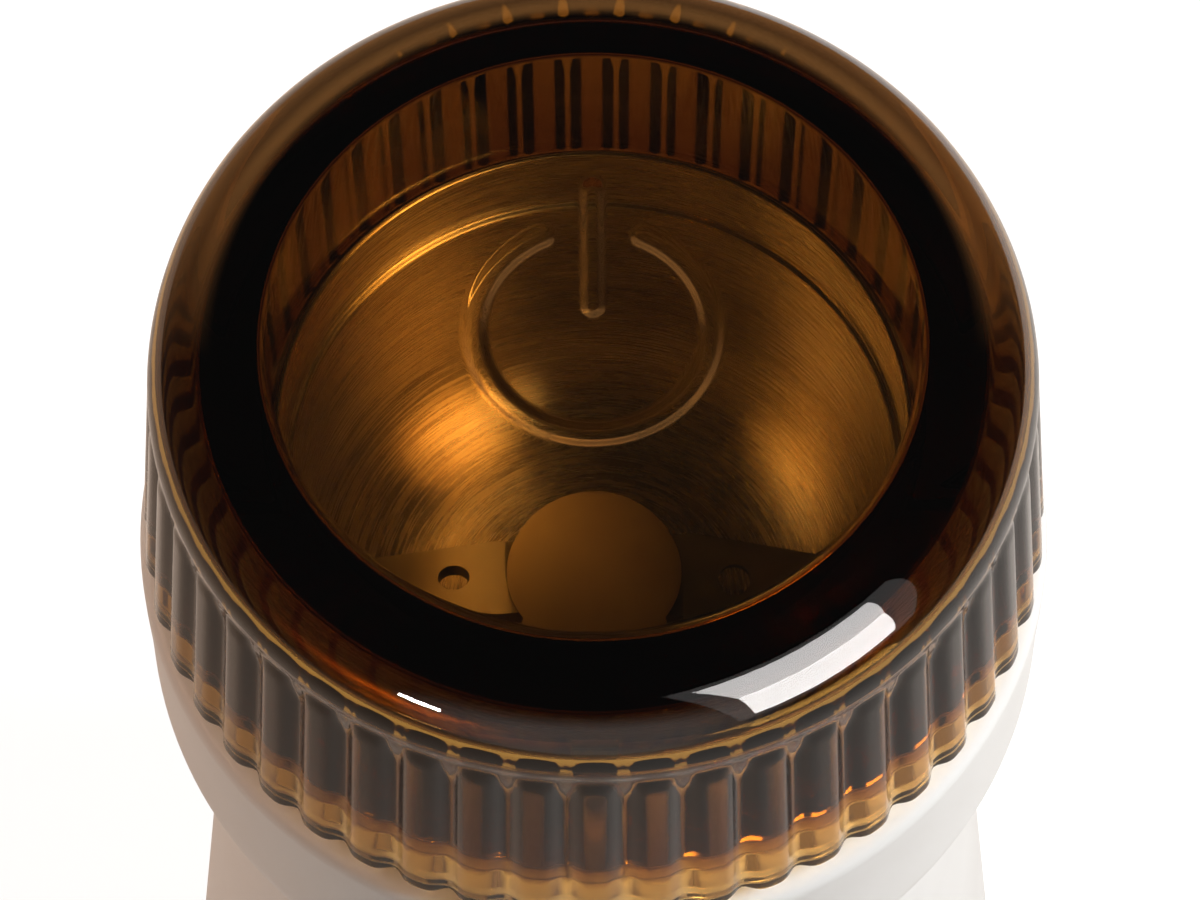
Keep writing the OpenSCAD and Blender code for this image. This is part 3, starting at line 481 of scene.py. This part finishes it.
def brushed_steel(name, colour, rough):
    """Steel brushed round the axis."""
    mat, tree, shader = node_tree(name)
    shader.inputs["Metallic"].default_value = 1.0
    shader.inputs["Anisotropic"].default_value = 0.94
    shader.inputs["Anisotropic Rotation"].default_value = 0.25
    marks = noise_value(tree, turned_coordinates(tree), BRUSH_SCALE, 4.0)
    relief(tree, shader, marks, BRUSH_RELIEF, BRUSH_DEPTH)
    tint(tree, marks, shader.inputs["Base Color"],
         [c * BRUSH_DARK for c in colour], [c * BRUSH_BRIGHT for c in colour])
    vary(tree, marks, shader.inputs["Roughness"], rough - BRUSH_SMOOTH, rough + BRUSH_ROUGH)
    tangent = add_node(tree, "Tangent")
    tangent.direction_type = "RADIAL"
    tangent.axis = "Z"
    tree.links.new(tangent.outputs["Tangent"], shader.inputs["Tangent"])
    return mat


# name: darker colour, lighter colour, range of roughness, metal, grain, relief
PLAIN = {
    "blade_steel": ((0.19, 0.19, 0.19), (0.26, 0.26, 0.25), (0.30, 0.42), 1.0, 1500, 0.1),
    "hub_plastic": ((0.50, 0.48, 0.44), (0.57, 0.55, 0.51), (0.5, 0.62), 0.0, 1400, 0.25),
    "black_plastic": ((0.035, 0.035, 0.037), (0.05, 0.05, 0.052), (0.42, 0.55), 0.0, 600, 0.15),
    "grey_plastic": ((0.26, 0.26, 0.27), (0.31, 0.31, 0.32), (0.45, 0.6), 0.0, 600, 0.15),
    "rubber": ((0.03, 0.03, 0.03), (0.05, 0.05, 0.05), (0.7, 0.85), 0.0, 900, 0.3),
    "steel": ((0.58, 0.58, 0.59), (0.68, 0.68, 0.69), (0.25, 0.38), 1.0, 1200, 0.1),
    "zinc": ((0.66, 0.67, 0.69), (0.76, 0.77, 0.78), (0.22, 0.34), 1.0, 1200, 0.08),
    "aluminium": ((0.66, 0.67, 0.68), (0.74, 0.75, 0.76), (0.38, 0.5), 1.0, 500, 0.25),
    "brass": ((0.60, 0.43, 0.16), (0.70, 0.53, 0.24), (0.28, 0.4), 1.0, 1000, 0.1),
    "carbon": ((0.02, 0.02, 0.022), (0.04, 0.04, 0.042), (0.55, 0.7), 0.0, 1800, 0.35),
    "red_plastic": ((0.45, 0.03, 0.02), (0.55, 0.05, 0.03), (0.3, 0.4), 0.0, 600, 0.15),
}

# name: darker colour, lighter colour, roughness, metal, pitch of the bands
STRIPED = {
    "lamination": ((0.12, 0.12, 0.13), (0.26, 0.27, 0.29), 0.5, 0.8, 0.5 * MM),
    "copper": ((0.30, 0.11, 0.04), (0.62, 0.28, 0.12), 0.36, 0.9, 0.6 * MM),
}

materials = {
    "amber_plastic": amber_plastic(),
    "white_plastic": white_plastic(),
    "bowl_steel": brushed_steel("bowl_steel", (0.59, 0.57, 0.54), 0.26),
}
materials.update({name: plain(name, *row) for name, row in PLAIN.items()})
materials.update({name: striped(name, *row) for name, row in STRIPED.items()})


def finish_with(obj, slot):
    """Gives an object the one material of a slot."""
    obj.data.materials.clear()
    obj.data.materials.append(materials[slot])


def dress(obj, body, slot, replaced):
    """Gives a new piece its finish and its body, and hides the CAD node that it stands for."""
    finish_with(obj, slot)
    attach(obj, body)
    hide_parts(replaced)


for subpart in frame["record"]["subparts"]:
    finish_with(nodes[subpart["node"]], subpart["material_slot"])


# Lid

Z_SHOULDER = Z_TOP - SHOULDER_H
Z_SLEEVE = Z_TOP - SLEEVE_LEN
SLEEVE_RI = bowl_high.x + SLEEVE_CLEAR
SLEEVE_RO = SLEEVE_RI + SLEEVE_T
DRAFT = (SKIRT_R - SHOULDER_R) / (Z_SHOULDER - Z_SKIRT)


def crest(z):
    """Radius of the lobes' crests at a height."""
    return SKIRT_R - DRAFT * (z - Z_SKIRT)


def lid_in(z):
    """Radius of the skirt's inside at a height."""
    return crest(z) - LID_WALL


def lobe_cut(z, angle):
    """How far the skirt's face lies inside its crest: lobes with narrow round valleys and arched tops."""
    turn = (angle + math.pi / 2) / (2 * math.pi) * LOBES
    side = abs(2 * (turn - round(turn)))
    lobe = LOBE_DEPTH * (1 - math.cos(math.pi * side ** LOBE_POWER)) / 2
    arch = ARCH_TOP - ARCH_DROP * (1 - math.sqrt(max(0.0, 1 - side ** 2)))
    above = smooth(arch - ARCH_FADE / 2, arch + ARCH_FADE / 2, z)
    band = BAND_DEPTH * (1 - smooth(ARCH_TOP, Z_SHOULDER, z))
    return lobe * (1 - above) + band * above


def sign_depth(x, y):
    """Depth of the power sign's groove at a point of the lid's top."""
    r = math.hypot(x, y)
    off = abs(math.atan2(x, y))
    if off >= SIGN_GAP:
        ring = abs(r - SIGN_R)
    else:
        end = (SIGN_R * math.sin(SIGN_GAP), SIGN_R * math.cos(SIGN_GAP))
        ring = math.hypot(abs(x) - end[0], y - end[1])
    bar = math.hypot(x, y - min(BAR_TO, max(BAR_FROM, y)))
    near = min(ring, bar) / (SIGN_W / 2)
    return SIGN_D * (1 - smooth(SIGN_FLAT, 1.0, near))


def lid_profile():
    """The lid's section from the middle of its top round to the middle of the window's underside.
    Each point is (radius, height, share of the lobes' cut)."""
    points = [(0.0, Z_TOP, 0.0)]
    points += [(SIGN_STEP * k, Z_TOP, 0.0) for k in range(1, int(SIGN_REACH / SIGN_STEP) + 1)]
    for k in range(1, FLAT_STEPS):
        points.append((SIGN_REACH + (FLAT_R - SIGN_REACH) * k / FLAT_STEPS, Z_TOP, 0.0))
    for k in range(SHOULDER_STEPS + 1):
        t = math.radians(90 * (1 - k / SHOULDER_STEPS))
        r = FLAT_R + (SHOULDER_R - FLAT_R) * math.cos(t)
        points.append((r, Z_SHOULDER + SHOULDER_H * math.sin(t), 0.0))
    for k in range(1, SKIRT_STEPS + 1):
        z = Z_SHOULDER + (Z_SKIRT + LID_EDGE - Z_SHOULDER) * k / SKIRT_STEPS
        points.append((crest(z), z, 1.0))
    for k in range(1, EDGE_STEPS + 1):
        a = math.radians(90 * k / EDGE_STEPS)
        r = crest(Z_SKIRT) - LID_EDGE * (1 - math.cos(a))
        points.append((r, Z_SKIRT + LID_EDGE * (1 - math.sin(a)), 1.0))
    lip_r = lid_in(Z_SKIRT) + LIP_IN
    z_ceiling = Z_TOP - WINDOW_T
    z_hollow = Z_SHOULDER + HOLLOW_UP
    inner = rounded([
        (crest(Z_SKIRT) - LID_EDGE, Z_SKIRT, 0),
        (lip_r, Z_SKIRT, 0.3 * MM),
        (lip_r, Z_SKIRT + LIP, 0.3 * MM),
        (lid_in(Z_SKIRT + LIP), Z_SKIRT + LIP + LIP_IN, 0.3 * MM),
        (lid_in(THICK_LOW), THICK_LOW, 0.4 * MM),
        (lid_in(THICK_LOW) - THICK_EXTRA, THICK_LOW + 0.4 * MM, 0.5 * MM),
        (SHOULDER_R - TOP_WALL, z_hollow, 2.2 * MM),
        (SLEEVE_RO, z_hollow, 0.8 * MM),
        (SLEEVE_RO, Z_SLEEVE, 0.5 * MM),
        (SLEEVE_RI, Z_SLEEVE, 0.5 * MM),
        (SLEEVE_RI, z_ceiling, 1.0 * MM),
        (0.0, z_ceiling, 0),
    ], steps=8)
    return points + [(r, z, 0.0) for r, z in inner[1:]]


def build_lid():
    """The amber lid with its lobes, its sunk sign and the web that presses the plunger."""
    points = lid_profile()

    def bend(r, z, i, angle):
        share = points[i][2]
        if share > 0:
            r -= share * lobe_cut(z, angle)
        elif z == Z_TOP and r <= SIGN_REACH:
            z -= sign_depth(r * math.cos(angle), r * math.sin(angle))
        return r, z

    verts, faces = revolve([p[:2] for p in points], LOBES * LOBE_STEPS, bend=bend)
    piece = new_object("lid", verts, faces)
    web = box_mesh((-WEB_W / 2, -WEB_OUT, WEB_LOW), (WEB_W / 2, -WEB_IN, Z_SLEEVE + MM))
    cut(piece, *web, operation="UNION")
    dress(piece, "lid", "amber_plastic", "lid_cover")
    return piece


# Bowl

def build_bowl():
    """The steel cup: a thin wall with a rim band, a round turn and a hole in its floor."""
    bowl_r = BAND_R - BAND_STEP
    z_step = Z_RIM - BAND_H
    z_floor = bowl_low.z + BOWL_T
    z_middle = z_floor + BOWL_ROUND
    angles = [math.radians(90 * k / BOWL_STEPS) for k in range(BOWL_STEPS + 1)]

    def turn(radius, order):
        middle_r = bowl_r - BOWL_ROUND
        return [(middle_r + radius * math.cos(a), z_middle - radius * math.sin(a), 0) for a in order]

    corners = [
        (BAND_R, Z_RIM, 0.28 * MM),
        (BAND_R, z_step, 0.7 * MM),
        (bowl_r, z_step, 0.7 * MM),
        *turn(BOWL_ROUND, angles),
        (BOWL_HOLE_R, z_floor, 0.2 * MM),
        (BOWL_HOLE_R, z_floor - BOWL_T, 0.2 * MM),
        *turn(BOWL_ROUND + BOWL_T, reversed(angles)),
        (bowl_r + BOWL_T, z_step - BOWL_T, 0.3 * MM),
        (BAND_R + BOWL_T, z_step - BOWL_T, 0.3 * MM),
        (BAND_R + BOWL_T, Z_RIM, 0.28 * MM),
    ]
    verts, faces = revolve(rounded(corners, closed=True), TURN_STEPS, closed=True)
    piece = new_object("bowl_skin", verts, faces)
    dress(piece, "housing", "bowl_steel", "bowl")
    return piece


# Collar

def build_collar():
    """The white upper housing with its ledge, guide ring, neck and the plunger's hole."""
    z_deck = Z_LEDGE - DECK_T
    z_guide = Z_LEDGE + GUIDE_H
    z_seat = Z_RIM - BAND_H - BOWL_T - GASKET_T
    guide_ri = GUIDE_RO - GUIDE_T
    neck_up = bowl_high.x + NECK_CLEAR
    neck_low = neck_up - BAND_STEP
    neck_ro = neck_up + NECK_T
    inner_r = COLLAR_R - COLLAR_WALL
    low_r = COLLAR_R - COLLAR_IN
    corners = [
        (SPIGOT_R, Z_WAIST, 0.2 * MM),
        (low_r, Z_WAIST, COLLAR_ROUND),
        (low_r, Z_WAIST + BELLY_LOW, 2.0 * MM),
        (COLLAR_R, Z_LEDGE - BELLY_HIGH, 2.0 * MM),
        (COLLAR_R, Z_LEDGE, 1.6 * MM),
        (GUIDE_RO, Z_LEDGE, 0.3 * MM),
        (GUIDE_RO, z_guide, 0.5 * MM),
        (guide_ri, z_guide, 0.3 * MM),
        (guide_ri, Z_LEDGE, 0.4 * MM),
        (neck_ro, Z_LEDGE, 0.4 * MM),
        (neck_ro, collar_high.z, 0.3 * MM),
        (neck_up, collar_high.z, 0.3 * MM),
        (neck_up, z_seat, 0.1 * MM),
        (neck_low, z_seat, 0.1 * MM),
        (neck_low, z_deck, 0.2 * MM),
        (inner_r, z_deck, 1.2 * MM),
        (inner_r, Z_WAIST + COLLAR_WALL, COLLAR_ROUND - COLLAR_WALL),
        (SPIGOT_R, Z_WAIST + COLLAR_WALL, 0.2 * MM),
    ]
    verts, faces = revolve(rounded(corners, closed=True, steps=12), TURN_STEPS, closed=True)
    piece = new_object("collar_skin", verts, faces)
    cut(piece, *cylinder_mesh(PIN_HOLE_R, (0, -PIN_AT, z_deck - MM), (0, -PIN_AT, Z_LEDGE + MM)))
    dress(piece, "housing", "white_plastic", "collar")
    return piece


# Return spring

def build_spring():
    """A round wire wound under the plunger's head."""
    low, high = spring_low, spring_high
    middle = (low + high) / 2
    wire_r = SPRING_WIRE / 2
    coil_r = (high.x - low.x - SPRING_WIRE) / 2
    last = SPRING_TURNS * SPRING_STEPS
    sides = SPRING_SIDES
    verts = []
    for i in range(last + 1):
        a = 2 * math.pi * i / SPRING_STEPS
        z = low.z + wire_r + (high.z - low.z - SPRING_WIRE) * i / last
        for k in range(sides):
            u = 2 * math.pi * k / sides
            r = coil_r + wire_r * math.cos(u)
            x, y = middle.x + r * math.cos(a), middle.y + r * math.sin(a)
            verts.append((x, y, z + wire_r * math.sin(u)))
    faces = []
    for i in range(last):
        here, ahead = i * sides, (i + 1) * sides
        for k in range(sides):
            n = (k + 1) % sides
            faces.append((here + k, ahead + k, ahead + n, here + n))
    faces += [tuple(range(sides)), tuple(range(last * sides, (last + 1) * sides))]
    piece = new_object("spring_coil", verts, faces)
    dress(piece, "housing", "steel", "plunger_spring")
    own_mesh(piece)


lid = build_lid()
bowl = build_bowl()
collar = build_collar()
build_spring()


# Stage

def build_floor():
    """A round white table. It shows plain white and keeps the object's shadow. In mirrors it is a painted
    glow, graded by depth and side, that gives a sheen in place of how light falls on it.
    """
    verts, faces = revolve([(0.0, 0.0), (FLOOR_R, 0.0)], 96)
    floor = new_object("floor", verts, faces)
    mat, tree, shader = node_tree("floor_white")
    shader.inputs["Base Color"].default_value = (*FLOOR_COLOUR, 1)
    shader.inputs["Roughness"].default_value = 0.8
    shader.inputs["Specular IOR Level"].default_value = 0.1
    rays = add_node(tree, "LightPath").outputs
    glow = add_node(tree, "Emission", Strength=FLOOR_GLOW)
    share = combine(tree, "MAXIMUM",
                    combine(tree, "MULTIPLY", rays["Is Camera Ray"], FLOOR_TO_CAMERA),
                    combine(tree, "MULTIPLY", rays["Is Transmission Ray"], FLOOR_TO_LID))
    white = mix_shader(tree, share, shader.outputs["BSDF"], glow.outputs["Emission"])
    place = axes(tree)
    # painted light: in mirrors the floor glows by depth and side, tinted warm to the left, standing in
    # for how light falls on it
    depth = ramp(tree, place["Y"], *PAINTED_LIGHT_BY_DEPTH)
    side = ramp(tree, place["X"], *PAINTED_LIGHT_BY_SIDE)
    painted_glow = add_node(tree, "Emission")
    tint(tree, side, painted_glow.inputs["Color"], PAINTED_WARM_SHADE_LEFT, PAINTED_LIGHT_RIGHT, *PAINTED_LIGHT_BY_SIDE[2:])
    tree.links.new(combine(tree, "MULTIPLY", depth, side), painted_glow.inputs["Strength"])
    surface = mix_shader(tree, mirrored_rays(tree, rays), white, painted_glow.outputs["Emission"])
    tree.links.new(surface, tree.nodes["Material Output"].inputs["Surface"])
    floor.data.materials.append(mat)


def build_world():
    """A dim studio. It is white to the camera and through the lid. In mirrors it has a pale room
    in front and a warm backdrop behind."""
    world = bpy.data.worlds.new("studio")
    bpy.context.scene.world = world
    world.use_nodes = True
    tree = world.node_tree
    dim = tree.nodes["Background"]
    dim.inputs["Color"].default_value = (*STUDIO_COLOUR, 1)
    dim.inputs["Strength"].default_value = STUDIO_LEVEL
    white = add_node(tree, "Background", Color=(1, 1, 1, 1))
    warm = add_node(tree, "Background", Color=(*BACKDROP_COLOUR, 1), Strength=BACKDROP_LEVEL)
    rays = add_node(tree, "LightPath").outputs
    way = axes(tree, "Generated")

    def shown(share, rows):
        """A share that is kept inside a region."""
        for axis, start, end, low in rows:
            share = combine(tree, "MULTIPLY", share, ramp(tree, way[axis], start, end, low))
        return share

    through = shown(rays["Is Transmission Ray"], SEEN_THROUGH)
    room = combine(tree, "MULTIPLY", shown(rays["Is Glossy Ray"], FRONT_ROOM), FRONT_LEVEL)
    pale = combine(tree, "MAXIMUM", combine(tree, "MAXIMUM", through, room), rays["Is Camera Ray"])
    backdrop = shown(mirrored_rays(tree, rays), BACKDROP)
    studio = mix_shader(tree, pale, dim.outputs["Background"], white.outputs["Background"])
    surface = mix_shader(tree, backdrop, studio, warm.outputs["Background"])
    tree.links.new(surface, tree.nodes["World Output"].inputs["Surface"])


LID_MIDDLE = Vector((0, 0, Z_TOP - 10 * MM))


def softbox(name, azimuth, elevation, distance, size, power, colour, only, lit=()):
    """An area lamp that faces the lid. Azimuth 0 is the right side and -90 the front.
    It gives diffuse light or gloss only, and may light chosen pieces alone."""
    lamp = bpy.data.lights.new(name, "AREA")
    lamp.shape = "RECTANGLE"
    lamp.size, lamp.size_y = size
    lamp.energy = power
    lamp.color = colour
    obj = bpy.data.objects.new(name, lamp)
    a, e = math.radians(azimuth), math.radians(elevation)
    away = Vector((math.cos(e) * math.cos(a), math.cos(e) * math.sin(a), math.sin(e)))
    obj.location = LID_MIDDLE + away * distance
    obj.rotation_euler = away.to_track_quat("Z", "Y").to_euler()
    bpy.context.scene.collection.objects.link(obj)
    obj.visible_camera = False
    obj.visible_diffuse = only == "diffuse"
    obj.visible_glossy = only == "gloss"
    obj.visible_transmission = only == "gloss"
    if lit:
        chosen = bpy.data.collections.new(name + "_lights")
        for piece in lit:
            chosen.objects.link(piece)
        obj.light_linking.receiver_collection = chosen


def build_lights():
    """Key, warm fill and back light for the body, one lamp for the bowl, and the lid's highlights.
    Columns: azimuth, elevation, distance, size, power, colour."""
    pale = (1, 0.97, 0.95)
    shell = ("body_shell", "base_cover", "inlet_bush", "rubber_feet")
    housing = [collar] + [nodes[name] for name in shell]
    softbox("key", -10, 40, 0.8, (0.32, 0.32), 7.4, (1, 1, 1), "diffuse")
    softbox("fill_left", 170, 40, 0.9, (0.5, 0.5), 3.4, (1.0, 0.66, 0.48), "diffuse")
    softbox("back", 90, 25, 0.9, (0.5, 0.5), 2.8, (1, 0.98, 0.96), "diffuse", housing)
    softbox("bowl_box", -28, 44, 0.8, (0.32, 0.32), 40.0, (1, 0.98, 0.95), "gloss", [bowl])
    softbox("shoulder_low", -44, 12, 0.6, (0.34, 0.28), 6.2, pale, "gloss", [lid])
    softbox("shoulder_high", -44, 37, 0.6, (0.34, 0.28), 3.6, (1, 0.97, 0.96), "gloss", [lid])
    softbox("shoulder_halo", -43, 25, 0.6, (0.48, 0.68), 0.75, (1, 0.97, 0.96), "gloss", [lid])
    softbox("glint", -124, 7, 0.6, (0.09, 0.04), 1.2, pale, "gloss", [lid])


def build_camera():
    """The photograph's camera, turned so that the lid falls on its pixel."""
    camera = bpy.data.cameras.new("photo_camera")
    camera.sensor_width = SENSOR_W
    camera.lens = SENSOR_W * PHOTO_FOCAL / PHOTO_W
    camera.clip_start = 0.01
    obj = bpy.data.objects.new("photo_camera", camera)
    bpy.context.scene.collection.objects.link(obj)
    target = Vector((0, 0, Z_TOP))
    away = Vector((0, -math.cos(PHOTO_ELEVATION), math.sin(PHOTO_ELEVATION)))
    pitch = math.atan2(PHOTO_MIDDLE[1] - LID_PIXEL[1], PHOTO_FOCAL)
    yaw = math.atan2(PHOTO_MIDDLE[0] - LID_PIXEL[0], PHOTO_FOCAL)
    look = away.to_track_quat("Z", "Y").to_matrix()
    turn = Matrix.Rotation(-pitch, 3, "X") @ Matrix.Rotation(-yaw, 3, "Y")
    turn = turn @ Matrix.Rotation(PHOTO_ROLL, 3, "Z")
    place = Matrix.Translation(target + away * PHOTO_DISTANCE)
    obj.matrix_world = place @ (look @ turn).to_4x4()
    bpy.context.scene.camera = obj


build_floor()
build_world()
build_lights()
build_camera()

scene = bpy.context.scene
scene.view_settings.view_transform = "Standard"
scene.cycles.max_bounces = 20
scene.cycles.transmission_bounces = 20
scene.cycles.transparent_max_bounces = 24
